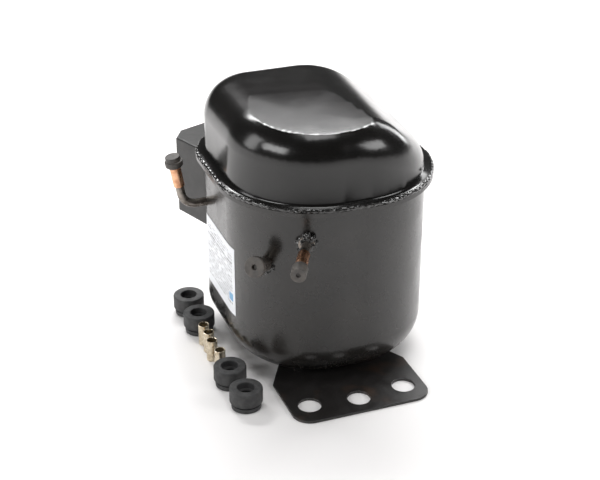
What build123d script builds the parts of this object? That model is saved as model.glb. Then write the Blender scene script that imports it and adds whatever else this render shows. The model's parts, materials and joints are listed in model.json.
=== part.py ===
from build123d import *
import math
import os

# Hermetic reciprocating compressor: a welded steel shell on two foot plates, with a sprung pump inside.
# Millimetres. Origin: centre of the base hole pattern, on the underside of the foot plates. +Z is up.
# The two hole rows run along X, and the front foot plate is on the -Y side.

# ---- mounting base ----
HOLE_SPACING_X = 70.0
HOLE_SPACING_Y = 170.0
HOLE_RADIUS = 8.0
CENTRE_HOLE_OUTWARD = 3.5
FOOT_THICKNESS = 2.0
FOOT_HALF_WIDTH = 50.0
FOOT_OUTER_Y = 104.0
FOOT_INNER_Y = 30.0
FOOT_INNER_HALF_WIDTH = 38.0
FOOT_TAPER_Y = 52.0
FOOT_CORNER = 13.0

# ---- welded shell ----
SHELL_X = 4.5
SHELL_Y = 4.2
SHELL_HALF_WIDTH = 71.2
SHELL_FRONT = 73.8
SHELL_BACK = 70.0
SHELL_FRONT_CORNER = 63.0
SHELL_BACK_CORNER = 37.0
WALL = 3.2
CAN_FLOOR = 5.0
CAN_BOTTOM_ROUND = 26.0
RIM_BOTTOM = 137.6
RIM_FLANGE = 3.0
RIM_OUTSET = 6.0
LID_FLANGE_OUTSET = 4.4
SEAM_OUTSET = 6.4
SEAM_HEIGHT = 2.8
LID_INSET = 0.8
LID_TOP = 194.5
LID_ROUND = 25.5
SLOPE_START = 27.0
SLOPE_DROP = 0.86
SLOPE_TURN = 3.0
SLOPE_BLEND = 60.0
FACET_START_X = -33.0
FACET_START_Y = 10.0
FACET_ANGLE = 5.0
FACET_TURN = -11.0

# ---- rating label, on the left wall ----
LABEL_BOTTOM = 42.0
LABEL_TOP = 95.0
LABEL_FRONT = -19.0
LABEL_BACK = 42.0

# ---- pump and motor ----
CRANK_X = 4.5
CRANK_Y = -2.0
THROW = 9.0
SHAFT_RADIUS = 8.0
CRANKPIN_RADIUS = 6.0
SLIDER_RADIUS = 9.5
CROSS_TUBE_RADIUS = 12.0
CROSS_TUBE_LENGTH = 40.0
RUNNING_GAP = 0.03
CYLINDER_Z = 139.0
PISTON_RADIUS = 15.0
DECK_BOTTOM = 104.0
DECK_TOP = 114.0
BORE_START_Y = 19.8
BORE_END_Y = 48.5
BLOCK_HALF_WIDTH = 26.0
HEAD_HALF_HEIGHT = 24.0
STATOR_BOTTOM = 38.0
STATOR_TOP = 84.0
STATOR_HALF = 46.0
STATOR_BORE = 27.2
ROTOR_RADIUS = 26.8
WINDING_RADIUS = 37.5
SLOT_CIRCLE = 33.0
LEG_OFFSET = 34.0
SPRING_BOTTOM = 12.0
SPRING_TOP = 34.0

# ---- electrical terminal, on the back left wall ----
TERMINAL_X = -42.9
TERMINAL_Y = 71.7
TERMINAL_Z = 106.5
TERMINAL_TURN = 21.0
COVER_HALF_WIDTH = 23.5
COVER_DEPTH = 35.5
COVER_BOTTOM = 76.5
COVER_TOP = 136.5
COVER_BEVEL_DEPTH = 8.7
COVER_BEVEL_WIDTH = 10.7
COVER_WALL = 2.0
PIN_ANGLES = (90, 210, 330)
PIN_CIRCLE = 6.5
PIN_RADIUS = 1.15
GLASS_RADIUS = 2.6

# ---- loose mounting kit, standing on the floor to the left ----
GROMMET_PLACES = [(-75.8, 67.0), (-76.2, 38.9), (-76.9, -38.2), (-75.0, -68.0)]
SLEEVE_PLACES = [(-78.4, 19.4), (-78.0, 8.4), (-79.2, -3.4), (-77.7, -17.7)]
GROMMET_RADIUS = 11.55
GROMMET_FOOT_RADIUS = 10.4
GROMMET_BORE = 4.05
GROMMET_RECESS_RADIUS = 6.0
GROMMET_RECESS_DEPTH = 5.0
GROMMET_HEIGHT = 15.4
GROMMET_HEAD_HEIGHT = 10.4
SLEEVE_RADIUS = 3.95
SLEEVE_BORE = 3.35
SLEEVE_HEIGHT = 16.2

BOTTOM = (Align.CENTER, Align.CENTER, Align.MIN)
nodes = {}


def rod(radius, height, x=0.0, y=0.0, z=0.0):
    """Upright round bar standing on height z."""
    return Pos(x, y, z) * Cylinder(radius, height, align=BOTTOM)


def ring(outer, inner, height, x=0.0, y=0.0, z=0.0):
    """Upright washer or tube standing on height z."""
    return rod(outer, height, x, y, z) - rod(inner, height + 2, x, y, z - 1)


def block(low, high):
    """Box between two corners."""
    size = [b - a for a, b in zip(low, high)]
    centre = [(a + b) / 2 for a, b in zip(low, high)]
    return Pos(*centre) * Box(*size)


def bar_between(start, end, radius):
    """Round bar from one point to another."""
    line = Line(start, end)
    return sweep(Plane(origin=start, z_dir=line % 0) * Circle(radius), path=line)


def pipe(points, radii, outer, inner=0.0):
    """Round tube along straight runs joined by tangent arcs."""
    path = FilletPolyline(*points, radius=radii)
    mouth = Plane(origin=path @ 0, z_dir=path % 0)
    tube = sweep(mouth * Circle(outer), path=path)
    if inner:
        tube -= sweep(mouth * Circle(inner), path=path)
    return tube


# ---------------------------------------------------------------- shell


def shell_plan(inset=0.0):
    """Outline of the shell seen from above, round at the front and squarer at the back."""
    half = SHELL_HALF_WIDTH - inset
    front = inset - SHELL_FRONT
    back = SHELL_BACK - inset
    outline = Polygon((-half, front), (half, front), (half, back), (-half, back), align=None)
    outline = fillet(outline.vertices().sort_by(Axis.Y)[:2], SHELL_FRONT_CORNER - inset)
    outline = fillet(outline.vertices().sort_by(Axis.Y)[-2:], SHELL_BACK_CORNER - inset)
    return Pos(SHELL_X, SHELL_Y) * outline


def plan_prism(inset, low, high):
    """Upright prism of the shell's outline."""
    return extrude(Pos(0, 0, low) * shell_plan(inset), high - low)


def can_form(inset, floor, corner, top):
    """Deep drawn cup with a rounded bottom edge."""
    cup = plan_prism(inset, floor, top)
    return fillet(cup.faces().sort_by(Axis.Z)[0].edges(), corner)


def lid_form(inset, drop, corner, low):
    """Lid body: flat towards the back left, falling away to the right and a little to the front."""
    prism = plan_prism(inset, low, LID_TOP + 20)
    top = LID_TOP - drop
    far = 160.0
    bend = FilletPolyline(
        (-far, top),
        (SLOPE_START, top),
        (far, top - SLOPE_DROP * (far - SLOPE_START)),
        radius=SLOPE_BLEND,
    )
    closing = Polyline(bend @ 1, (far, 0), (-far, 0), (-far, top))
    profile = make_face(Plane.XZ * (bend + closing))
    under = Rot(0, 0, -SLOPE_TURN) * extrude(profile, far, both=True)
    body = prism & under
    walls = [f for f in body.faces() if abs(f.normal_at().Z) < 0.1]
    crown = [
        edge
        for face in walls
        for edge in face.edges()
        if edge.center().Z > low + 2 and abs((edge % 0.5).Z) < 0.8
    ]
    crease = Pos(FACET_START_X, FACET_START_Y, top) * Rot(0, 0, FACET_TURN)
    tilt = crease * Rot(FACET_ANGLE, 0, 0)
    return fillet(crown, corner) - tilt * block((-far, -far, 0), (far, 0, 60))


def wall_frame(x, y, z, turn):
    """Frame on the shell wall whose local +Z points straight out. turn is the heading of that normal."""
    heading = math.radians(turn)
    return Plane(origin=(x, y, z), z_dir=(math.cos(heading), math.sin(heading), 0), x_dir=(0, 0, 1))


# Connector roots on the wall, and the way each one points (heading in degrees from +X).
SUCTION_ROOT = (-52.2, -46.8, 96.0)
SUCTION_DIRECTION = (-0.647, -0.682, 0.342)
DISCHARGE_ROOT = (-29.0, -64.2, 117.0)
DISCHARGE_HEADING = 242.0
PROCESS_ROOT = (-65.1, 48.0, 101.2)
PROCESS_REACH = 16.5
PROCESS_LEAN = 10.0
PROCESS_RISE = 24.4

terminal_seat = wall_frame(TERMINAL_X, TERMINAL_Y, TERMINAL_Z, 90 + TERMINAL_TURN)
discharge_angle = math.radians(DISCHARGE_HEADING)
discharge_way = Vector(math.cos(discharge_angle), math.sin(discharge_angle), 0)
suction_way = Vector(*SUCTION_DIRECTION).normalized()
process_way = Vector(-1, 0, 0)


def along(root, way, distance):
    """Point at a distance from root in direction way."""
    return Vector(*root) + way * distance


def bar_along(root, way, start, end, radius):
    """Round bar between two distances from root."""
    return bar_between(along(root, way, start), along(root, way, end), radius)


SUCTION_RADIUS = 5.0
DISCHARGE_RADIUS = 3.1
PROCESS_RADIUS = 3.1
SUCTION_TUBE_WALL = 0.9
SUCTION_REACH = 16.0
SUCTION_PLUG_RADIUS = 7.2
STEEL_TUBE_WALL = 0.8
SLEEVE_WALL = 0.9
COPPER_THROAT = 0.5
COLLAR_RADIUS = 5.6
DISCHARGE_STEEL_END = 26.0
DISCHARGE_COPPER_END = 43.0
DISCHARGE_PLUG_RADIUS = 5.2
PROCESS_COPPER_END = 38.0
PROCESS_CAP_RADIUS = 5.4
PROCESS_CAP_BEAD = 6.4
TERMINAL_RADIUS = 17.0


def make_shell():
    can = can_form(0, CAN_FLOOR, CAN_BOTTOM_ROUND, RIM_BOTTOM + RIM_FLANGE)
    can += plan_prism(-RIM_OUTSET, RIM_BOTTOM, RIM_BOTTOM + RIM_FLANGE)
    can -= can_form(WALL, CAN_FLOOR + WALL, CAN_BOTTOM_ROUND - WALL, RIM_BOTTOM + RIM_FLANGE + 5)
    can -= bar_along(SUCTION_ROOT, suction_way, -12, 12, SUCTION_RADIUS)
    can -= bar_along(DISCHARGE_ROOT, discharge_way, -8, 14, DISCHARGE_RADIUS)
    can -= bar_along(PROCESS_ROOT, process_way, -9, 9, PROCESS_RADIUS)
    can += terminal_seat * Pos(0, 0, -4) * Cylinder(TERMINAL_RADIUS + 3.2, 8)
    can -= terminal_seat * Pos(0, 0, -10) * Cylinder(TERMINAL_RADIUS, 30)
    nodes["lower_shell"] = can

    seat = RIM_BOTTOM + RIM_FLANGE
    lid = lid_form(LID_INSET, 0, LID_ROUND, seat)
    lid += plan_prism(-LID_FLANGE_OUTSET, seat, seat + RIM_FLANGE)
    lid -= lid_form(LID_INSET + WALL, WALL, LID_ROUND - WALL, seat - 1)
    nodes["upper_shell"] = lid

    bead = plan_prism(-SEAM_OUTSET, seat, seat + SEAM_HEIGHT)
    bead -= plan_prism(-LID_FLANGE_OUTSET, seat - 1, seat + 9)
    outer_edges = bead.faces().sort_by(Axis.Z)[-1].outer_wire().edges()
    nodes["seam_weld_bead"] = fillet(outer_edges, 1.0)


def make_foot(side):
    """Foot plate with two fixing holes, a centre hole and a raised tongue welded under the can."""
    points = [
        (-FOOT_HALF_WIDTH, -FOOT_OUTER_Y),
        (FOOT_HALF_WIDTH, -FOOT_OUTER_Y),
        (FOOT_HALF_WIDTH, -FOOT_TAPER_Y),
        (FOOT_INNER_HALF_WIDTH, -FOOT_INNER_Y),
        (-FOOT_INNER_HALF_WIDTH, -FOOT_INNER_Y),
        (-FOOT_HALF_WIDTH, -FOOT_TAPER_Y),
    ]
    outline = Polygon(*points, align=None)
    outline = fillet(outline.vertices().sort_by(Axis.Y)[:2], FOOT_CORNER)
    plate = extrude(outline, FOOT_THICKNESS)
    plate += block((-30, -42, FOOT_THICKNESS), (30, -31, CAN_FLOOR))
    for x in (-HOLE_SPACING_X / 2, HOLE_SPACING_X / 2):
        plate -= rod(HOLE_RADIUS, 9, x, -HOLE_SPACING_Y / 2, -2)
    plate -= rod(HOLE_RADIUS, 9, 0, -HOLE_SPACING_Y / 2 - CENTRE_HOLE_OUTWARD, -2)
    return plate if side == "front" else Rot(0, 0, 180) * plate


def make_label():
    """Thin plate of foil that follows the left wall of the can."""
    thickness = 0.25
    band = plan_prism(-thickness, LABEL_BOTTOM, LABEL_TOP)
    band -= plan_prism(0, LABEL_BOTTOM - 5, LABEL_TOP + 5)
    nodes["rating_label"] = band & block((-80, LABEL_FRONT, 30), (-40, LABEL_BACK, 99))


def make_connectors():
    """Suction, discharge and process tubes, each with its copper end and its transport plug."""
    root, way = SUCTION_ROOT, suction_way
    throat = SUCTION_RADIUS - SUCTION_TUBE_WALL
    suction = bar_along(root, way, -7, SUCTION_REACH, SUCTION_RADIUS)
    suction -= bar_along(root, way, -9, SUCTION_REACH + 2, throat)
    nodes["suction_connector"] = suction
    plug = bar_along(root, way, SUCTION_REACH + 0.1, SUCTION_REACH + 4, SUCTION_PLUG_RADIUS)
    plug += bar_along(root, way, 8, SUCTION_REACH + 1, throat - RUNNING_GAP)
    plug -= bar_along(root, way, SUCTION_REACH + 1.5, SUCTION_REACH + 6, 1.8)
    nodes["suction_plug"] = plug

    root, way = DISCHARGE_ROOT, discharge_way
    sleeve_radius = DISCHARGE_RADIUS + SLEEVE_WALL
    copper_end = DISCHARGE_COPPER_END
    steel = bar_along(root, way, -6, DISCHARGE_STEEL_END, DISCHARGE_RADIUS)
    steel += bar_along(root, way, -1, 4.5, COLLAR_RADIUS) - nodes["lower_shell"]
    steel -= bar_along(root, way, -6, copper_end, DISCHARGE_RADIUS - STEEL_TUBE_WALL)
    nodes["discharge_connector"] = steel
    copper = bar_along(root, way, 18, copper_end, sleeve_radius)
    copper -= bar_along(root, way, 12, DISCHARGE_STEEL_END, DISCHARGE_RADIUS)
    copper -= bar_along(root, way, 25, copper_end + 7, DISCHARGE_RADIUS - COPPER_THROAT)
    nodes["discharge_copper_sleeve"] = copper
    cap = bar_along(root, way, 36, copper_end + 3, DISCHARGE_PLUG_RADIUS)
    cap -= bar_along(root, way, 30, copper_end + 0.1, sleeve_radius + RUNNING_GAP)
    cap -= bar_along(root, way, copper_end + 1.6, copper_end + 7, 1.5)
    nodes["discharge_plug"] = cap

    x, y, z = PROCESS_ROOT
    lean = math.radians(PROCESS_LEAN)
    up = Vector(-math.sin(lean), 0, math.cos(lean))
    corner = Vector(x - PROCESS_REACH, y, z)
    steel_end = corner + up * PROCESS_RISE
    bend = [(x + 6, y, z), (corner.X, corner.Y, corner.Z), (steel_end.X, steel_end.Y, steel_end.Z)]
    elbow = pipe(bend, [11.0], PROCESS_RADIUS, PROCESS_RADIUS - STEEL_TUBE_WALL)
    nodes["process_connector"] = elbow
    sleeve_radius = PROCESS_RADIUS + SLEEVE_WALL
    copper_end = PROCESS_COPPER_END
    sleeve = bar_along(corner, up, 16, copper_end, sleeve_radius)
    sleeve -= bar_along(corner, up, 12, PROCESS_RISE, PROCESS_RADIUS)
    sleeve -= bar_along(corner, up, PROCESS_RISE - 1, copper_end + 7, PROCESS_RADIUS - COPPER_THROAT)
    nodes["process_copper_sleeve"] = sleeve
    cap = bar_along(corner, up, 31.5, copper_end + 2, PROCESS_CAP_RADIUS)
    cap += bar_along(corner, up, 32.5, 36.5, PROCESS_CAP_BEAD)
    cap -= bar_along(corner, up, 20, copper_end + 0.1, sleeve_radius + RUNNING_GAP)
    nodes["process_tube_cap"] = cap


def pin_places():
    """The three pins on their circle, in the terminal's own frame."""
    for angle in PIN_ANGLES:
        turn = math.radians(angle)
        yield Pos(PIN_CIRCLE * math.cos(turn), PIN_CIRCLE * math.sin(turn), 0)


def make_terminal():
    """Feed-through for three pins, with the parts that plug on to it and their cover."""
    seat = terminal_seat
    dish = seat * Pos(0, 0, -2.5) * Cylinder(TERMINAL_RADIUS, 3.0)
    collar = seat * Pos(0, 0, -1.0) * Cylinder(TERMINAL_RADIUS, 6.0)
    collar -= seat * Pos(0, 0, -1.0) * Cylinder(TERMINAL_RADIUS - 2.0, 8.0)
    body = dish + collar
    pins = None
    glass = None
    for place in pin_places():
        body -= seat * place * Pos(0, 0, -2.5) * Cylinder(GLASS_RADIUS, 9.0)
        bead = seat * place * Pos(0, 0, -2.5) * (Cylinder(GLASS_RADIUS, 4.0) - Cylinder(PIN_RADIUS, 9.0))
        pin = seat * place * Cylinder(PIN_RADIUS, 22.0)
        glass = bead if glass is None else glass + bead
        pins = pin if pins is None else pins + pin
    nodes["terminal_body"] = body
    nodes["terminal_glass_seals"] = glass
    nodes["terminal_pins"] = pins

    fence = seat * Pos(0, 0, 2.75) * (Box(52, 40, 1.5) - Cylinder(14.0, 9.0))
    screw_hole = Pos(-22, 15, 0)
    fence -= seat * screw_hole * Cylinder(2.0, 20.0)
    nodes["terminal_bracket"] = fence
    screw = seat * screw_hole * Pos(0, 0, 2.6) * Cylinder(1.95, 4.0)
    screw += seat * screw_hole * Pos(0, 0, 5.05) * Cylinder(3.6, 3.1)
    screw -= seat * screw_hole * Pos(0, 0, 6.3) * Box(8.0, 1.0, 1.2)
    nodes["ground_screw"] = screw

    relay = seat * Pos(10.5, 0, 13.5) * Box(24.0, 34.0, 18.0)
    overload = seat * Pos(-10.5, -3.0, 12.0) * Cylinder(9.5, 15.0)
    for place in pin_places():
        socket = seat * place * Pos(0, 0, 5.0) * Cylinder(PIN_RADIUS + 0.05, 12.4)
        relay -= socket
        overload -= socket
    overload -= relay
    outward = Axis(terminal_seat.origin, terminal_seat.z_dir)
    nodes["start_relay"] = fillet(relay.edges().filter_by(outward), 2.0)
    nodes["overload_protector"] = overload


def make_cover():
    """Terminal cover with bevelled outer corners, open towards the shell wall and cut to its curve."""

    def outline(shrink, depth):
        half = COVER_HALF_WIDTH - shrink
        shoulder = depth - COVER_BEVEL_DEPTH
        face = half - COVER_BEVEL_WIDTH
        points = [
            (-half, -30),
            (half, -30),
            (half, shoulder),
            (face, depth),
            (-face, depth),
            (-half, shoulder),
        ]
        return Polygon(*points, align=None)

    spin = Pos(TERMINAL_X, TERMINAL_Y, 0) * Rot(0, 0, TERMINAL_TURN)
    height = COVER_TOP - COVER_BOTTOM
    outer = spin * Pos(0, 0, COVER_BOTTOM) * extrude(outline(0, COVER_DEPTH), height)
    ends = outer.faces().sort_by(Axis.Z)
    outer = fillet(ends[0].edges() + ends[-1].edges(), 1.5)
    room = extrude(outline(COVER_WALL, COVER_DEPTH - COVER_WALL), height - 2 * COVER_WALL)
    inner = spin * Pos(0, 0, COVER_BOTTOM + COVER_WALL) * room
    nodes["terminal_cover"] = outer - inner - plan_prism(-0.3, 0, 200)


# ---------------------------------------------------------------- pump


def make_block():
    x, y = CRANK_X, CRANK_Y
    deck = block((x - 42, y - 42, DECK_BOTTOM), (x + 42, y + 50, DECK_TOP))
    deck = fillet(deck.edges().filter_by(Axis.Z), 12)
    hub = rod(15, 12, x, y, 92)
    barrel_low = (x - BLOCK_HALF_WIDTH, BORE_START_Y, DECK_TOP - 2)
    barrel_high = (x + BLOCK_HALF_WIDTH, BORE_END_Y, CYLINDER_Z + HEAD_HALF_HEIGHT)
    barrel = block(barrel_low, barrel_high)
    barrel = fillet(barrel.edges().filter_by(Axis.Y), 5)
    body = deck + hub + barrel
    for dx in (-1, 1):
        for dy in (-1, 1):
            body += rod(6, DECK_BOTTOM - STATOR_TOP, x + dx * LEG_OFFSET, y + dy * LEG_OFFSET, STATOR_TOP)
    body -= rod(SHAFT_RADIUS + RUNNING_GAP, 40, x, y, 85)
    bore = Plane(origin=(x, BORE_START_Y - 1, CYLINDER_Z), z_dir=(0, 1, 0)) * Pos(0, 0, 20)
    body -= bore * Cylinder(PISTON_RADIUS + RUNNING_GAP, 40)
    for px, pz in head_bolt_places():
        body -= bar_between((px, BORE_END_Y - 14, pz), (px, BORE_END_Y + 1, pz), 2.0)
    for dx in (-1, 1):
        for dy in (-1, 1):
            body -= rod(2.5, 24, x + dx * LEG_OFFSET, y + dy * LEG_OFFSET, STATOR_TOP - 1)
    for px, py in MUFFLER_PLACES:
        body -= rod(MUFFLER_RADIUS - 2, 7, px, py, DECK_TOP - 6)
    nodes["crankcase_block"] = body


MUFFLER_PLACES = [(CRANK_X - 31.0, CRANK_Y - 28.0), (CRANK_X + 31.0, CRANK_Y - 28.0)]
MUFFLER_RADIUS = 12.5


def head_bolt_places():
    """Centres of the four cylinder head bolts, as X and Z."""
    return [(CRANK_X + dx * 21, CYLINDER_Z + dz * 19) for dx in (-1, 1) for dz in (-1, 1)]


def head_plate(low, high):
    """Flat plate on the end of the cylinder with the four bolt holes."""
    bottom, top = CYLINDER_Z - HEAD_HALF_HEIGHT, CYLINDER_Z + HEAD_HALF_HEIGHT
    plate = block((CRANK_X - BLOCK_HALF_WIDTH, low, bottom), (CRANK_X + BLOCK_HALF_WIDTH, high, top))
    plate = fillet(plate.edges().filter_by(Axis.Y), 5)
    for px, pz in head_bolt_places():
        plate -= bar_between((px, low - 1, pz), (px, high + 1, pz), 2.25)
    return plate


GASKET = 0.5
PLATE = 3.0
HEAD = 10.0
REED = 0.3
PORT_OFFSET = 7.0


def reed_blank(low, high, x, width, root_z, tip_z):
    """Flat reed with a round tip."""
    strip = block((x - width / 2, low, root_z), (x + width / 2, high, tip_z))
    tip = bar_between((x, low, tip_z), (x, high, tip_z), width / 2)
    return strip + tip


def make_head():
    y = BORE_END_Y
    gasket = head_plate(y, y + GASKET)
    gasket -= bar_between((CRANK_X, y - 1, CYLINDER_Z), (CRANK_X, y + 2, CYLINDER_Z), PISTON_RADIUS + 1.5)
    nodes["valve_gasket"] = gasket
    plate_low = y + GASKET
    plate_high = plate_low + PLATE
    plate = head_plate(plate_low, plate_high)
    for side in (-1, 1):
        px = CRANK_X + side * PORT_OFFSET
        plate -= bar_between((px, plate_low - 1, CYLINDER_Z), (px, plate_high + 1, CYLINDER_Z), 3.0)
    nodes["valve_plate"] = plate
    # The suction reed works on the cylinder side, the discharge reed on the head side.
    suction_x = CRANK_X - PORT_OFFSET
    discharge_x = CRANK_X + PORT_OFFSET
    z = CYLINDER_Z
    inside = plate_low - 0.02
    outside = plate_high + 0.02
    nodes["suction_reed"] = reed_blank(inside - REED, inside, suction_x, 9.0, z - 9.5, z)
    nodes["discharge_reed"] = reed_blank(outside, outside + REED, discharge_x, 8.0, z - 9, z)
    stop_high = plate_high + 2.8
    stop = reed_blank(plate_high + 1.6, stop_high, discharge_x, 8.0, z - 10, z)
    stop += block((discharge_x - 4, plate_high, z - 15), (discharge_x + 4, stop_high, z - 9.4))
    nodes["discharge_valve_stop"] = stop
    gasket = head_plate(plate_high, plate_high + GASKET)
    gasket -= head_room(plate_high - 1, plate_high + 2)
    nodes["head_gasket"] = gasket
    low = plate_high + GASKET
    head = head_plate(low, low + HEAD)
    head -= head_room(low - 1, low + HEAD - 4)
    head = fillet(head.faces().sort_by(Axis.Y)[-1].outer_wire().edges(), 2.5)
    nodes["cylinder_head"] = head
    bolts = None
    for px, pz in head_bolt_places():
        bolt = bar_between((px, y - 10, pz), (px, low + HEAD, pz), 2.0)
        hexagon = Plane(origin=(px, low + HEAD, pz), z_dir=(0, 1, 0)) * RegularPolygon(4.4, 6)
        bolt += extrude(hexagon, 3.2)
        bolts = bolt if bolts is None else bolts + bolt
    nodes["head_bolts"] = bolts


def head_room(low, high):
    """Suction and discharge chambers, kept apart by a rib."""
    x, z = CRANK_X, CYLINDER_Z
    left = block((x - 15.5, low, z - 15.5), (x - 1.5, high, z + 13))
    right = block((x + 1.5, low, z - 15.5), (x + 15.5, high, z + 13))
    return left + right


def make_crank():
    x, y = CRANK_X, CRANK_Y
    shaft = rod(SHAFT_RADIUS, 97, x, y, 20)
    shaft += rod(15.5, 6, x, y, 117)
    shaft += rod(CRANKPIN_RADIUS, 26, x - THROW, y, 123)
    shaft -= rod(2.5, 80, x, y, 15)
    gallery_x = x - THROW / 2
    shaft -= rod(1.5, 7, gallery_x, y, 116)
    nodes["crankshaft"] = shaft
    nodes["crankpin_gallery_plug"] = rod(1.5 - RUNNING_GAP, 5, gallery_x, y, 118)

    weight = rod(21, 6, x, y, 117) & block((x + 4, y - 30, 100), (x + 40, y + 30, 130))
    weight -= rod(15.5, 20, x, y, 110)
    nodes["counterweight"] = weight

    lower = ring(14.5, SHAFT_RADIUS + 0.3, 0.7, x, y, DECK_TOP)
    upper = ring(14.5, SHAFT_RADIUS + 0.3, 0.7, x, y, 116.3)
    cage = ring(13.0, 9.5, 0.6, x, y, 114.85)
    for i in range(10):
        angle = math.radians(36 * i)
        ball = Pos(x + 11.3 * math.cos(angle), y + 11.3 * math.sin(angle), 115.5) * Sphere(0.78)
        cage += ball
    nodes["thrust_bearing"] = lower + upper + (cage - upper - lower)
    core = ring(ROTOR_RADIUS, SHAFT_RADIUS, STATOR_TOP - STATOR_BOTTOM, x, y, STATOR_BOTTOM)
    bars = None
    for i in range(18):
        angle = math.radians(20 * i)
        px, py = x + 23 * math.cos(angle), y + 23 * math.sin(angle)
        slot = rod(1.6, STATOR_TOP - STATOR_BOTTOM, px, py, STATOR_BOTTOM)
        bars = slot if bars is None else bars + slot
    nodes["rotor_core"] = core - bars
    cage = bars + ring(26, 18, 4, x, y, STATOR_TOP) + ring(26, 18, 4, x, y, STATOR_BOTTOM - 4)
    nodes["rotor_cage"] = cage
    cone = Pos(x, y, 12) * Cone(3.5, 7.5, 8, align=BOTTOM)
    nodes["oil_pickup"] = cone - rod(1.8, 30, x, y, 0)


def make_piston():
    x, y, z = CRANK_X, CRANK_Y, CYLINDER_Z
    cross = Plane(origin=(x, y, z), z_dir=(1, 0, 0))
    skirt_start = y + CROSS_TUBE_RADIUS - 0.4
    crown = BORE_END_Y - THROW - 0.5
    body = cross * Cylinder(CROSS_TUBE_RADIUS, CROSS_TUBE_LENGTH)
    body += bar_between((x, y + SLIDER_RADIUS + 0.5, z), (x, skirt_start + 4, z), SLIDER_RADIUS)
    body += bar_between((x, skirt_start, z), (x, crown, z), PISTON_RADIUS)
    body -= cross * Cylinder(SLIDER_RADIUS + RUNNING_GAP, CROSS_TUBE_LENGTH + 2)
    body -= bar_between((x, skirt_start + 4, z), (x, crown - 4, z), PISTON_RADIUS - 4)
    body -= bar_between((x, y, z), (x, crown - 5, z), 3.0)
    reach = THROW + CRANKPIN_RADIUS + 0.6
    half_slot = CRANKPIN_RADIUS + 0.6
    body -= block((x - reach, y - half_slot, z - 20), (x + reach, y + half_slot, z + 20))
    nodes["piston"] = body
    slider = Plane(origin=(x - THROW, y, z), z_dir=(1, 0, 0)) * Cylinder(SLIDER_RADIUS, 18)
    slider -= rod(CRANKPIN_RADIUS + RUNNING_GAP, 60, x - THROW, y, z - 30)
    nodes["slide_block"] = slider


def make_motor():
    x, y = CRANK_X, CRANK_Y
    half = STATOR_HALF
    core = block((x - half, y - half, STATOR_BOTTOM), (x + half, y + half, STATOR_TOP))
    core = chamfer(core.edges().filter_by(Axis.Z), 6)
    core -= rod(STATOR_BORE, 60, x, y, STATOR_BOTTOM - 2)
    slots = None
    for i in range(24):
        angle = 15 * i
        place = Pos(x, y, STATOR_BOTTOM - 2) * Rot(0, 0, angle) * Pos(SLOT_CIRCLE, 0, 0)
        slot = place * Box(12, 3.2, 60, align=BOTTOM)
        slots = slot if slots is None else slots + slot
    core -= slots
    for dx in (-1, 1):
        for dy in (-1, 1):
            core -= rod(2.6, 60, x + dx * LEG_OFFSET, y + dy * LEG_OFFSET, STATOR_BOTTOM - 2)
    nodes["stator_core"] = core
    run = start = None
    for i in range(24):
        angle = 15 * i
        place = Pos(x, y, STATOR_BOTTOM - 1) * Rot(0, 0, angle) * Pos(SLOT_CIRCLE, 0, 0)
        bar = place * Box(9, 2.8, 48, align=BOTTOM)
        if i % 3 == 0:
            start = bar if start is None else start + bar
        else:
            run = bar if run is None else run + bar
    for low in (STATOR_BOTTOM - 12, STATOR_TOP + 0.8):
        run += fillet(ring(WINDING_RADIUS, 33, 11.2, x, y, low).edges(), 1.8)
        start += ring(32.8, 28.6, 8, x, y, low if low > 60 else low + 3.2)
    run -= start
    nodes["run_winding"] = run
    nodes["start_winding"] = start
    bolts = None
    for dx in (-1, 1):
        for dy in (-1, 1):
            px, py = x + dx * LEG_OFFSET, y + dy * LEG_OFFSET
            bolt = rod(2.45, 69, px, py, STATOR_BOTTOM - 1) + rod(5, 11, px, py, STATOR_BOTTOM - 11)
            bolt += rod(8.5, 2, px, py, SPRING_TOP)
            bolts = bolt if bolts is None else bolts + bolt
    nodes["stator_bolts"] = bolts


def make_springs():
    x, y = CRANK_X, CRANK_Y
    wire = 1.0
    coil_radius = 7.0
    turns = 5
    pitch = (SPRING_TOP - SPRING_BOTTOM - 2 * wire) / turns
    springs = seats = None
    for dx in (-1, 1):
        for dy in (-1, 1):
            px, py = x + dx * LEG_OFFSET, y + dy * LEG_OFFSET
            path = Pos(px, py, SPRING_BOTTOM + wire) * Helix(pitch, pitch * turns, coil_radius)
            mouth = Plane(origin=path @ 0, z_dir=path % 0)
            coil = sweep(mouth * Circle(wire), path=path, is_frenet=True)
            springs = coil if springs is None else springs + coil
            seat = rod(4.5, 13, px, py, CAN_FLOOR + WALL) + rod(8.5, 1.5, px, py, SPRING_BOTTOM - 1.5)
            seats = seat if seats is None else seats + seat
    nodes["suspension_springs"] = springs
    nodes["spring_seats"] = seats - nodes["lower_shell"]


def make_mufflers():
    covers = None
    for px, py in MUFFLER_PLACES:
        cup = rod(MUFFLER_RADIUS, 18, px, py, DECK_TOP)
        cup = fillet(cup.faces().sort_by(Axis.Z)[-1].edges(), 5)
        cup -= rod(MUFFLER_RADIUS - 1.2, 15, px, py, DECK_TOP - 1)
        covers = cup if covers is None else covers + cup
    nodes["discharge_muffler_covers"] = covers
    x = CRANK_X
    case = block((-50, 26, 120), (x - BLOCK_HALF_WIDTH - 0.5, 54, 160))
    case = fillet(case.edges(), 4)
    case -= block((-48, 28, 122), (x - BLOCK_HALF_WIDTH - 2.5, 52, 158))
    nodes["suction_muffler"] = case


def make_internal_pipe():
    px, py = MUFFLER_PLACES[1]
    end = along(DISCHARGE_ROOT, discharge_way, -6.3)
    before = along(DISCHARGE_ROOT, discharge_way, -15)
    route = [
        (px, py, 132.3),
        (px, py, 142),
        (px + 8, py - 12, 140),
        (px + 4, py - 20, 99),
        (12, -56, 97),
        (-8, -55, 99),
        (before.X, before.Y, before.Z),
        (end.X, end.Y, end.Z),
    ]
    nodes["discharge_loop_tube"] = pipe(route, [4, 6, 7, 7, 6, 3.4], 2.4)


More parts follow.
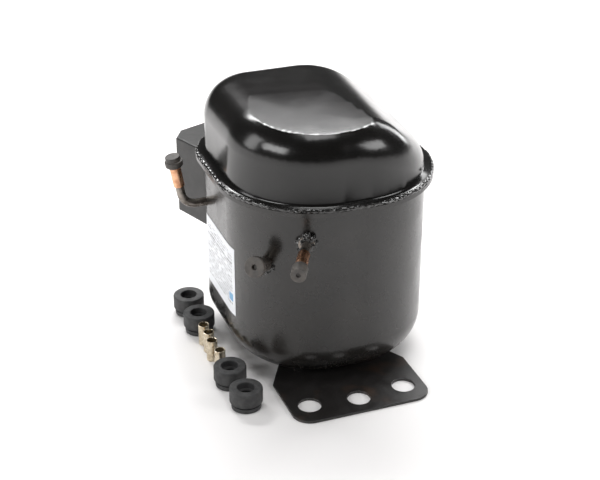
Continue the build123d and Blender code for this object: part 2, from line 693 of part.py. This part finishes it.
def make_leads():
    """Three insulated leads from the motor windings to the inner ends of the terminal pins."""
    leads = None
    for place, foot_x in zip(pin_places(), (-12, -22, -17)):
        a = (terminal_seat * place * Pos(0, 0, -11.1)).position
        b = (terminal_seat * place * Pos(0, 0, -17)).position
        foot = Vector(foot_x, 46, 94)
        inward = (Vector(CRANK_X, CRANK_Y, foot.Z) - foot).normalized()
        end = Vector(CRANK_X, CRANK_Y, STATOR_TOP + 6) - inward * (WINDING_RADIUS + 0.8)
        route = [(a.X, a.Y, a.Z), (b.X, b.Y, b.Z), (foot.X, foot.Y, foot.Z), (end.X, end.Y, end.Z)]
        lead = pipe(route, [3.0, 3.0], 1.2)
        leads = lead if leads is None else leads + lead
    nodes["motor_leads"] = leads


def make_kit():
    for i, (x, y) in enumerate(GROMMET_PLACES):
        body = rod(GROMMET_FOOT_RADIUS, GROMMET_HEIGHT, x, y, 0)
        body += rod(GROMMET_RADIUS, GROMMET_HEAD_HEIGHT, x, y, GROMMET_HEIGHT - GROMMET_HEAD_HEIGHT)
        body = fillet(body.edges().filter_by(GeomType.CIRCLE).group_by(Axis.Z)[-1], 1.0)
        body -= ring(GROMMET_RADIUS + 1, GROMMET_FOOT_RADIUS - 1.6, 1.6, x, y, 3.4)
        body -= rod(GROMMET_BORE, 40, x, y, -5)
        body -= rod(GROMMET_RECESS_RADIUS, 9, x, y, GROMMET_HEIGHT - GROMMET_RECESS_DEPTH)
        nodes[f"rubber_grommet_{i + 1}"] = body
    for i, (x, y) in enumerate(SLEEVE_PLACES):
        nodes[f"spacer_sleeve_{i + 1}"] = ring(SLEEVE_RADIUS, SLEEVE_BORE, SLEEVE_HEIGHT, x, y, 0)


make_shell()
nodes["front_foot_plate"] = make_foot("front")
nodes["rear_foot_plate"] = make_foot("rear")
make_label()
make_connectors()
make_terminal()
make_cover()
make_block()
make_head()
make_crank()
make_piston()
make_motor()
make_springs()
make_mufflers()
make_internal_pipe()
make_leads()
make_kit()

os.makedirs("parts", exist_ok=True)
for name, shape in nodes.items():
    export_step(shape, f"parts/{name}.step")
print(len(nodes), "nodes")
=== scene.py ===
import json
import math

import bmesh
import bpy
from mathutils import Matrix, Vector, noise


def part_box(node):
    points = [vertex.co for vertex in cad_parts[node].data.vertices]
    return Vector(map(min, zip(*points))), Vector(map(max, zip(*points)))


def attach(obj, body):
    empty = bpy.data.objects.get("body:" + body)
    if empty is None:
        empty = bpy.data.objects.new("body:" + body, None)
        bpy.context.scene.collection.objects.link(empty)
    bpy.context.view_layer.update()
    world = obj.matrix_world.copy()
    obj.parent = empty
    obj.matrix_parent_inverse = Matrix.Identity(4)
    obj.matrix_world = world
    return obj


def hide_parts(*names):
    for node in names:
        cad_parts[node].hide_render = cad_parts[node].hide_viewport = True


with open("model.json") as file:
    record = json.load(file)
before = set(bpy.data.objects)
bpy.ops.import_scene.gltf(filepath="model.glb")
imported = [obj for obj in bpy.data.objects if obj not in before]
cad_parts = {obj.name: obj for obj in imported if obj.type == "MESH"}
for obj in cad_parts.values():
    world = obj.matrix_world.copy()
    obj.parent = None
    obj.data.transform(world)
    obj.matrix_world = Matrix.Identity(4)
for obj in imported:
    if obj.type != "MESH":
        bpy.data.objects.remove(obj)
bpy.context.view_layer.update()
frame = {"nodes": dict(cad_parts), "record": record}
nodes = frame["nodes"]
MM = 0.001
FLOOR_HALF_WIDTH = 12.0


# ------------------------------------------------------------ camera, light and floor


def add_camera():
    """Long lens, from the front left and above."""
    place = Vector((-0.3152, -0.8152, 0.5442))
    forward = Vector((0.3096, 0.8276, -0.4682)).normalized()
    right = Vector((0.9366, -0.3503, 0.0)).normalized()
    up = right.cross(forward).normalized()
    data = bpy.data.cameras.new("camera")
    data.lens = 82.85
    data.sensor_width = 36.0
    camera = bpy.data.objects.new("camera", data)
    turn = Matrix((right, up, -forward)).transposed().to_4x4()
    camera.matrix_world = Matrix.Translation(place) @ turn
    bpy.context.scene.collection.objects.link(camera)
    bpy.context.scene.camera = camera


def add_light(name, place, target, size, power, height=None):
    """Soft rectangular panel that faces a target."""
    data = bpy.data.lights.new(name, "AREA")
    data.shape = "RECTANGLE"
    data.size = size
    data.size_y = height or size
    data.energy = power
    light = bpy.data.objects.new(name, data)
    turn = (Vector(target) - Vector(place)).to_track_quat("-Z", "Y").to_matrix().to_4x4()
    light.matrix_world = Matrix.Translation(place) @ turn
    bpy.context.scene.collection.objects.link(light)


def add_studio():
    """White table under a bright strip, with a dimmer one behind and softer panels around."""
    middle = (0.0, 0.0, 0.1)
    add_light("overhead_strip", (0.5, 1.45, 1.9), middle, 3.2, 84.0, 0.42)
    add_light("overhead_back", (0.6, 1.85, 1.62), middle, 2.4, 5.0, 0.42)
    add_light("top_fill", (0.0, -0.5, 2.6), middle, 1.2, 20.0)
    add_light("left_panel", (-1.6, 0.35, 0.7), middle, 0.5, 6.0, 1.0)
    add_light("front_left_panel", (-2.5, -0.9, 1.3), middle, 1.5, 26.0, 0.8)
    add_light("front_right_panel", (1.9, -1.7, 1.3), middle, 1.5, 22.0, 0.8)
    add_light("right_panel", (1.6, 0.9, 0.6), middle, 0.4, 7.0, 1.0)
    world = bpy.data.worlds.new("studio")
    world.use_nodes = True
    world.node_tree.nodes["Background"].inputs["Color"].default_value = (1.0, 1.0, 1.0, 1.0)
    world.node_tree.nodes["Background"].inputs["Strength"].default_value = 0.07
    bpy.context.scene.world = world
    bpy.context.scene.view_settings.view_transform = "Standard"
    mesh = bpy.data.meshes.new("floor")
    shape = bmesh.new()
    bmesh.ops.create_grid(shape, x_segments=1, y_segments=1, size=FLOOR_HALF_WIDTH)
    shape.to_mesh(mesh)
    shape.free()
    floor = bpy.data.objects.new("floor", mesh)
    bpy.context.scene.collection.objects.link(floor)
    material = bpy.data.materials.new("floor_white")
    material.use_nodes = True
    surface = material.node_tree.nodes["Principled BSDF"]
    surface.inputs["Base Color"].default_value = (0.95, 0.935, 0.93, 1.0)
    surface.inputs["Roughness"].default_value = 0.6
    surface.inputs["Specular IOR Level"].default_value = 0.2
    mesh.materials.append(material)


add_camera()
add_studio()

# ------------------------------------------------------------ materials


class Finish:
    """Procedural surface: a Principled shader fed by noise in object space."""

    def __init__(self, name, colour, roughness, metallic=0.0, coat=0.0, coat_roughness=0.05):
        self.material = bpy.data.materials.new(name)
        self.material.use_nodes = True
        self.tree = self.material.node_tree
        self.surface = self.tree.nodes["Principled BSDF"]
        self.surface.inputs["Base Color"].default_value = (*colour, 1.0)
        self.surface.inputs["Roughness"].default_value = roughness
        self.surface.inputs["Metallic"].default_value = metallic
        self.surface.inputs["Coat Weight"].default_value = coat
        self.surface.inputs["Coat Roughness"].default_value = coat_roughness
        self.colour = colour
        self.roughness = roughness
        self.place = self.tree.nodes.new("ShaderNodeTexCoord").outputs["Object"]
        self.height = None

    def node(self, kind, **settings):
        made = self.tree.nodes.new(kind)
        for key, value in settings.items():
            setattr(made, key, value)
        return made

    def stretched(self, scale):
        """Object coordinates scaled along each axis, for brushed or drawn grain."""
        mapping = self.node("ShaderNodeMapping")
        mapping.inputs["Scale"].default_value = scale
        self.tree.links.new(self.place, mapping.inputs["Vector"])
        return mapping.outputs["Vector"]

    def speckle(self, scale, detail=4.0, stretch=None):
        """Noise value with features about 1 / scale metres across."""
        made = self.node("ShaderNodeTexNoise")
        made.inputs["Scale"].default_value = scale
        made.inputs["Detail"].default_value = detail
        source = self.stretched(stretch) if stretch else self.place
        self.tree.links.new(source, made.inputs["Vector"])
        return made.outputs["Fac"]

    def shaped(self, value, low, high, to_low=0.0, to_high=1.0):
        made = self.node("ShaderNodeMapRange")
        made.inputs["From Min"].default_value = low
        made.inputs["From Max"].default_value = high
        made.inputs["To Min"].default_value = to_low
        made.inputs["To Max"].default_value = to_high
        self.tree.links.new(value, made.inputs["Value"])
        return made.outputs["Result"]

    def tint(self, other, scale, low=0.4, high=0.65, stretch=None, detail=4.0):
        """Patches of a second colour."""
        mask = self.shaped(self.speckle(scale, detail, stretch), low, high)
        self.blend_in(other, mask)
        return self

    def blend_in(self, other, mask):
        mix = self.node("ShaderNodeMix", data_type="RGBA")
        socket = self.surface.inputs["Base Color"]
        if socket.is_linked:
            self.tree.links.new(socket.links[0].from_socket, mix.inputs["A"])
        else:
            mix.inputs["A"].default_value = (*self.colour, 1.0)
        mix.inputs["B"].default_value = (*other, 1.0)
        self.tree.links.new(mask, mix.inputs["Factor"])
        self.tree.links.new(mix.outputs["Result"], socket)

    def rubbed(self, scale, spread, stretch=None):
        """Roughness that wanders either side of its mean."""
        value = self.speckle(scale, 5.0, stretch)
        low = max(0.02, self.roughness - spread)
        made = self.shaped(value, 0.3, 0.7, low, self.roughness + spread)
        self.tree.links.new(made, self.surface.inputs["Roughness"])
        return self

    def bumped(self, scale, depth, stretch=None, detail=3.0):
        """Relief, depth in metres, with features about 1 / scale metres across."""
        bump = self.node("ShaderNodeBump")
        bump.inputs["Strength"].default_value = 1.0
        bump.inputs["Distance"].default_value = depth
        self.tree.links.new(self.speckle(scale, detail, stretch), bump.inputs["Height"])
        if self.height:
            self.tree.links.new(self.height, bump.inputs["Normal"])
        self.height = bump.outputs["Normal"]
        self.tree.links.new(self.height, self.surface.inputs["Normal"])
        return self


def printed(finish):
    """Rows of small dashes and one blue patch, on a label in the YZ plane."""
    axes = finish.node("ShaderNodeSeparateXYZ")
    finish.tree.links.new(finish.place, axes.inputs["Vector"])

    def window(value, low, high):
        above = finish.node("ShaderNodeMath", operation="GREATER_THAN")
        below = finish.node("ShaderNodeMath", operation="LESS_THAN")
        both = finish.node("ShaderNodeMath", operation="MULTIPLY")
        finish.tree.links.new(value, above.inputs[0])
        finish.tree.links.new(value, below.inputs[0])
        above.inputs[1].default_value = low
        below.inputs[1].default_value = high
        finish.tree.links.new(above.outputs[0], both.inputs[0])
        finish.tree.links.new(below.outputs[0], both.inputs[1])
        return both.outputs[0]

    def product(*masks):
        made = masks[0]
        for mask in masks[1:]:
            both = finish.node("ShaderNodeMath", operation="MULTIPLY")
            finish.tree.links.new(made, both.inputs[0])
            finish.tree.links.new(mask, both.inputs[1])
            made = both.outputs[0]
        return made

    rows = finish.node("ShaderNodeMath", operation="PINGPONG")
    rows.inputs[1].default_value = 1.25 * MM
    finish.tree.links.new(axes.outputs["Z"], rows.inputs[0])
    dashes = finish.speckle(1.0, 2.0, (0.0, 900.0, 400.0))
    words = finish.speckle(1.0, 0.0, (0.0, 130.0, 400.0))
    field = window(axes.outputs["Y"], -15.0 * MM, 38.0 * MM)
    body_rows = product(
        window(rows.outputs[0], 0.0, 0.6 * MM),
        window(dashes, 0.48, 1.0),
        window(words, 0.44, 1.0),
        field,
        window(axes.outputs["Z"], 49.0 * MM, 90.0 * MM),
    )
    finish.blend_in((0.12, 0.12, 0.13), body_rows)
    rule = product(window(axes.outputs["Z"], 81.6 * MM, 82.2 * MM), field)
    finish.blend_in((0.1, 0.1, 0.11), rule)
    patch = product(
        window(axes.outputs["Y"], -16.0 * MM, -9.5 * MM),
        window(axes.outputs["Z"], 52.0 * MM, 58.0 * MM),
    )
    finish.blend_in((0.12, 0.36, 0.62), patch)
    return finish


FINISHES = {
    "can_paint": Finish("can_paint", (0.009, 0.0081, 0.0072), 0.27, coat=0.2, coat_roughness=0.14)
    .tint((0.015, 0.0132, 0.0115), 28)
    .rubbed(60, 0.06)
    .bumped(900, 0.00003)
    .bumped(45, 0.00025),
    "lid_paint": Finish("lid_paint", (0.004, 0.0037, 0.0034), 0.2, coat=0.2, coat_roughness=0.12)
    .tint((0.0065, 0.006, 0.0055), 35)
    .rubbed(90, 0.025)
    .bumped(500, 0.00002)
    .bumped(60, 0.0001),
    "weld": Finish("weld", (0.012, 0.0115, 0.011), 0.24, coat=0.6, coat_roughness=0.1)
    .tint((0.09, 0.085, 0.08), 260, 0.64, 0.7)
    .rubbed(300, 0.1)
    .bumped(420, 0.0004),
    "plate_paint": Finish(
        "plate_paint", (0.016, 0.0145, 0.014), 0.42, coat=0.2, coat_roughness=0.25
    )
    .tint((0.05, 0.03, 0.02), 45, 0.55, 0.8)
    .rubbed(120, 0.1)
    .bumped(700, 0.00006),
    "tube_steel": Finish("tube_steel", (0.3, 0.27, 0.24), 0.33, metallic=0.9)
    .tint((0.07, 0.055, 0.045), 160)
    .rubbed(300, 0.1)
    .bumped(900, 0.00004),
    "tube_copper": Finish("tube_copper", (0.78, 0.45, 0.28), 0.32, metallic=1.0)
    .tint((0.5, 0.25, 0.14), 220)
    .rubbed(400, 0.1)
    .bumped(1200, 0.00004),
    "cap_rubber": Finish("cap_rubber", (0.055, 0.05, 0.046), 0.5)
    .tint((0.09, 0.08, 0.07), 180)
    .rubbed(300, 0.08)
    .bumped(900, 0.00008),
    "grommet_rubber": Finish("grommet_rubber", (0.03, 0.03, 0.031), 0.6)
    .tint((0.05, 0.05, 0.05), 200)
    .rubbed(300, 0.08)
    .bumped(1100, 0.00008),
    "sleeve_metal": Finish("sleeve_metal", (0.72, 0.64, 0.5), 0.3, metallic=1.0)
    .tint((0.5, 0.42, 0.3), 260)
    .rubbed(400, 0.08)
    .bumped(1400, 0.00003),
    "cover_plastic": Finish("cover_plastic", (0.022, 0.0215, 0.021), 0.42)
    .tint((0.03, 0.029, 0.028), 60)
    .rubbed(160, 0.06)
    .bumped(1500, 0.00005),
    "relay_plastic": Finish("relay_plastic", (0.03, 0.027, 0.024), 0.35)
    .rubbed(200, 0.08)
    .bumped(900, 0.00004),
    "overload_case": Finish("overload_case", (0.05, 0.04, 0.032), 0.4)
    .rubbed(200, 0.08)
    .bumped(900, 0.00004),
    "glass_seal": Finish("glass_seal", (0.05, 0.14, 0.11), 0.12)
    .tint((0.03, 0.08, 0.07), 500)
    .rubbed(500, 0.04),
    "pin_metal": Finish("pin_metal", (0.6, 0.57, 0.5), 0.25, metallic=1.0)
    .rubbed(500, 0.08)
    .bumped(1500, 0.00002),
    "bracket_steel": Finish("bracket_steel", (0.55, 0.55, 0.54), 0.35, metallic=1.0)
    .tint((0.4, 0.4, 0.42), 120)
    .rubbed(200, 0.1),
    "cast_iron": Finish("cast_iron", (0.12, 0.12, 0.12), 0.6, metallic=0.7)
    .tint((0.2, 0.19, 0.18), 90)
    .rubbed(200, 0.1)
    .bumped(500, 0.0002),
    "machined_steel": Finish("machined_steel", (0.55, 0.55, 0.56), 0.25, metallic=1.0)
    .rubbed(900, 0.08, (1.0, 1.0, 12.0))
    .bumped(1500, 0.00002, (1.0, 1.0, 10.0)),
    "bearing_steel": Finish("bearing_steel", (0.7, 0.7, 0.72), 0.12, metallic=1.0)
    .rubbed(900, 0.04),
    "lamination": Finish("lamination", (0.25, 0.26, 0.28), 0.42, metallic=1.0)
    .tint((0.12, 0.12, 0.13), 1800, 0.45, 0.6, (0.02, 0.02, 1.0))
    .bumped(1800, 0.0001, (0.02, 0.02, 1.0)),
    "winding_copper": Finish("winding_copper", (0.55, 0.22, 0.09), 0.35, metallic=0.85, coat=0.4)
    .tint((0.3, 0.1, 0.04), 700)
    .bumped(900, 0.0004, (1.0, 1.0, 3.0)),
    "rotor_aluminium": Finish("rotor_aluminium", (0.66, 0.66, 0.67), 0.4, metallic=1.0)
    .rubbed(300, 0.1)
    .bumped(600, 0.00008),
    "head_aluminium": Finish("head_aluminium", (0.6, 0.6, 0.61), 0.45, metallic=1.0)
    .rubbed(300, 0.1)
    .bumped(700, 0.0001),
    "spring_steel": Finish("spring_steel", (0.32, 0.32, 0.33), 0.3, metallic=1.0).rubbed(500, 0.1),
    "muffler_plastic": Finish("muffler_plastic", (0.62, 0.59, 0.5), 0.45)
    .tint((0.55, 0.52, 0.42), 60)
    .bumped(900, 0.00004),
    "gasket_fibre": Finish("gasket_fibre", (0.16, 0.18, 0.16), 0.8)
    .tint((0.22, 0.24, 0.21), 500)
    .bumped(900, 0.00006),
    "lead_sleeve": Finish("lead_sleeve", (0.6, 0.57, 0.45), 0.6)
    .tint((0.5, 0.46, 0.35), 300)
    .bumped(1500, 0.00008),
    "reed_steel": Finish("reed_steel", (0.6, 0.61, 0.63), 0.2, metallic=1.0).rubbed(700, 0.06),
    "label_foil": printed(
        Finish("label_foil", (0.8, 0.82, 0.85), 0.34)
        .tint((0.74, 0.76, 0.79), 40)
        .rubbed(200, 0.05)
    ),
}

for part in frame["record"]["subparts"]:
    if part["node"] in nodes:
        mesh = nodes[part["node"]].data
        mesh.materials.clear()
        mesh.materials.append(FINISHES[part["material_slot"]].material)

# ------------------------------------------------------------ pieces

RECORD = frame["record"]
BODIES = RECORD["behaviour"]["bodies"]
BODY_OF = {node: body for body, members in BODIES.items() for node in members}
SLOT_OF = {part["node"]: part["material_slot"] for part in RECORD["subparts"]}
MOUNTS = {mount["name"]: mount for mount in RECORD["mounts"]}
JOIN_DISTANCE = 2e-6
FLAT_ANGLE = math.radians(0.5)
SHARP_ANGLE = math.radians(32)
RIM_FRONT_CORNER = 69.4 * MM
RIM_BACK_CORNER = 43.4 * MM
BEAD_STEPS = 1400
BEAD_SIDES = 12
BEAD_RADIUS = 1.55
BEAD_INSET = 1.75
BEAD_DROP = 1.7
FACET_TILT = 5.0
FACET_TILT_SPREAD = 0.1
FACET_DEPTH = 12.0
FACET_BACK = 20.0
FACET_LEFT = -66
FACET_RIGHT = 72
FACET_FRONT = -72
FACET_GRID = 3
CROWN_REACH = 30.0
CROWN_HEIGHT = 0.8


def finished(shape, name, body, slot, replaced=()):
    """Turns a bmesh into a smooth shaded object that rides on a body."""
    mesh = bpy.data.meshes.new(name)
    shape.to_mesh(mesh)
    shape.free()
    mesh.shade_smooth()
    mesh.set_sharp_from_angle(angle=SHARP_ANGLE)
    mesh.materials.append(FINISHES[slot].material)
    made = bpy.data.objects.new(name, mesh)
    bpy.context.scene.collection.objects.link(made)
    shading = made.modifiers.new("even_shading", "WEIGHTED_NORMAL")
    shading.keep_sharp = True
    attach(made, body)
    if replaced:
        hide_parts(*replaced)
    return made


def softened(node, width, segments=2):
    """Copy of a CAD node with its sharp edges rounded over."""
    shape = bmesh.new()
    shape.from_mesh(nodes[node].data)
    bmesh.ops.remove_doubles(shape, verts=shape.verts, dist=JOIN_DISTANCE)
    bmesh.ops.dissolve_limit(shape, angle_limit=FLAT_ANGLE, verts=shape.verts, edges=shape.edges)
    sharp = [edge for edge in shape.edges if edge.calc_face_angle(0.0) > SHARP_ANGLE]
    bmesh.ops.bevel(
        shape,
        geom=sharp,
        offset=width,
        segments=segments,
        profile=0.5,
        affect="EDGES",
        material=-1,
        clamp_overlap=True,
    )
    return finished(shape, node + "_softened", BODY_OF[node], SLOT_OF[node], (node,))


def rim_outline(count):
    """Points evenly spaced round the welded rim, each with its outward direction."""
    (left, front, _), (right, back, _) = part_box("seam_weld_bead")
    corners = (
        (right - RIM_BACK_CORNER, back - RIM_BACK_CORNER, RIM_BACK_CORNER, 0),
        (left + RIM_BACK_CORNER, back - RIM_BACK_CORNER, RIM_BACK_CORNER, 90),
        (left + RIM_FRONT_CORNER, front + RIM_FRONT_CORNER, RIM_FRONT_CORNER, 180),
        (right - RIM_FRONT_CORNER, front + RIM_FRONT_CORNER, RIM_FRONT_CORNER, 270),
    )
    walk = []
    for x, y, radius, start in corners:
        for step in range(91):
            angle = math.radians(start + step)
            way = Vector((math.cos(angle), math.sin(angle), 0.0))
            walk.append((Vector((x, y, 0.0)) + way * radius, way))
    walk.append(walk[0])
    reach = [0.0]
    for (a, _), (b, _) in zip(walk, walk[1:]):
        reach.append(reach[-1] + (b - a).length)
    outline = []
    span = 0
    for step in range(count):
        wanted = reach[-1] * step / count
        while reach[span + 1] < wanted:
            span += 1
        share = (wanted - reach[span]) / max(reach[span + 1] - reach[span], 1e-9)
        (a, a_way), (b, b_way) = walk[span], walk[span + 1]
        outline.append((a.lerp(b, share), a_way.lerp(b_way, share).normalized()))
    return outline


def add_weld_bead():
    """Rough bead round the rim: a ring of short ripples with spatter, painted over."""
    outline = rim_outline(BEAD_STEPS)
    middle_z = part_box("seam_weld_bead")[1][2] - BEAD_DROP * MM
    shape = bmesh.new()
    order = shape.verts.layers.int.new("step")
    loop = bmesh.ops.create_circle(shape, cap_ends=False, radius=1.0, segments=BEAD_STEPS)["verts"]
    for step, vertex in enumerate(loop):
        vertex[order] = step

    def shift(vertices, side):
        angle = math.tau * side / BEAD_SIDES
        for vertex in vertices:
            point, way = outline[vertex[order]]
            along = vertex[order] * 0.35
            ripple = 0.13 * math.sin(along * 1.3 + 2.5 * noise.noise(point * 90.0))
            lump = 0.4 * noise.noise(point * 130.0 + Vector((0, 0, side * 0.35)))
            grain = 0.1 * noise.noise(point * 600.0 + Vector((0, 0, side * 0.9)))
            radius = (BEAD_RADIUS + ripple + lump + grain) * MM
            centre = point - way * BEAD_INSET * MM
            vertex.co = centre + way * radius * math.cos(angle)
            vertex.co.z = middle_z + radius * math.sin(angle)

    shift(loop, 0)
    first = list(shape.edges)
    edges = first
    for side in range(1, BEAD_SIDES):
        made = bmesh.ops.extrude_edge_only(shape, edges=edges)["geom"]
        shift([item for item in made if isinstance(item, bmesh.types.BMVert)], side)
        edges = [
            item
            for item in made
            if isinstance(item, bmesh.types.BMEdge) and len(item.link_faces) == 1
        ]
    bmesh.ops.bridge_loops(shape, edges=edges + first)
    bmesh.ops.recalc_face_normals(shape, faces=shape.faces)
    finished(shape, "seam_weld_ripple", "shell", "weld", ("seam_weld_bead",))


def distance_to_edge(point, a, b):
    """Distance in plan from a point to a straight edge."""
    run = (b - a).to_2d()
    share = (point - a).to_2d().dot(run) / max(run.length_squared, 1e-12)
    share = min(1.0, max(0.0, share))
    return ((point - a).to_2d() - run * share).length


def add_lid():
    """Lid whose front facet is slightly crowned, as drawn steel is."""
    shape = bmesh.new()
    shape.from_mesh(nodes["upper_shell"].data)
    bmesh.ops.remove_doubles(shape, verts=shape.verts, dist=JOIN_DISTANCE)
    mark = shape.faces.layers.int.new("facet")
    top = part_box("upper_shell")[1][2]
    tilt = math.radians(FACET_TILT)
    spread = math.radians(FACET_TILT_SPREAD)
    facet = [
        face
        for face in shape.faces
        if face.normal.z > 0.0
        and abs(face.normal.angle(Vector((0.0, 0.0, 1.0))) - tilt) < spread
        and face.calc_center_median().z > top - FACET_DEPTH * MM
        and face.calc_center_median().y < FACET_BACK * MM
    ]
    inside = set(facet)
    border = [
        (edge.verts[0].co.copy(), edge.verts[1].co.copy())
        for face in facet
        for edge in face.edges
        if any(other not in inside for other in edge.link_faces)
    ]
    for face in facet:
        face[mark] = 1
    for way, low, high in (
        ((1.0, 0.0, 0.0), FACET_LEFT, FACET_RIGHT),
        ((0.0, 1.0, 0.0), FACET_FRONT, int(FACET_BACK)),
    ):
        normal = Vector(way)
        for place in range(low, high, FACET_GRID):
            faces = [face for face in shape.faces if face[mark]]
            edges = {edge for face in faces for edge in face.edges}
            points = {vertex for face in faces for vertex in face.verts}
            bmesh.ops.bisect_plane(
                shape,
                geom=[*faces, *edges, *points],
                dist=1e-6,
                plane_co=normal * place * MM,
                plane_no=normal,
            )
    crowned = {vertex for face in shape.faces if face[mark] for vertex in face.verts}
    for vertex in crowned:
        reach = min(distance_to_edge(vertex.co, a, b) for a, b in border)
        share = min(1.0, reach / (CROWN_REACH * MM))
        vertex.co.z += CROWN_HEIGHT * MM * (1.0 - (1.0 - share) ** 2)
    finished(shape, "upper_shell_crowned", "shell", "lid_paint", ("upper_shell",))


def add_braze(name, place, way, radius, length, slot, lumps):
    """Lumpy collar of filler metal round a tube where it enters the wall."""
    shape = bmesh.new()
    bmesh.ops.create_icosphere(shape, subdivisions=5, radius=1.0)
    turn = Vector(way).to_track_quat("Z", "Y").to_matrix()
    for vertex in shape.verts:
        unit = vertex.co.copy()
        swell = 1.0 + lumps * noise.noise(unit * 2.3 + Vector(place) * 100.0)
        swell += 0.5 * lumps * noise.noise(unit * 6.0)
        flat = Vector((unit.x * radius, unit.y * radius, unit.z * length)) * swell
        vertex.co = Vector(place) + turn @ flat
    finished(shape, name, "shell", slot)


for part in (
    "front_foot_plate",
    "rear_foot_plate",
    "terminal_cover",
    "discharge_plug",
    "suction_plug",
    "process_tube_cap",
):
    softened(part, 0.5 * MM, 3)
for part in ("suction_connector", "discharge_copper_sleeve", "process_copper_sleeve"):
    softened(part, 0.25 * MM)
for number in range(1, 5):
    softened(f"rubber_grommet_{number}", 0.6 * MM, 3)
    softened(f"spacer_sleeve_{number}", 0.2 * MM)
add_weld_bead()
add_lid()
# Port, distance back from its mouth to the wall, radius and half length in millimetres, lumpiness.
for port, reach, radius, length, lumps in (
    ("suction_port", 16.0, 6.6, 1.9, 0.25),
    ("discharge_port", 41.0, 6.4, 4.2, 0.45),
):
    mount = MOUNTS[port]
    way = Vector(mount["axis"]).normalized()
    place = Vector(mount["pos_m"]) - way * reach * MM
    add_braze(port.replace("port", "braze"), place, way, radius * MM, length * MM, "weld", lumps)
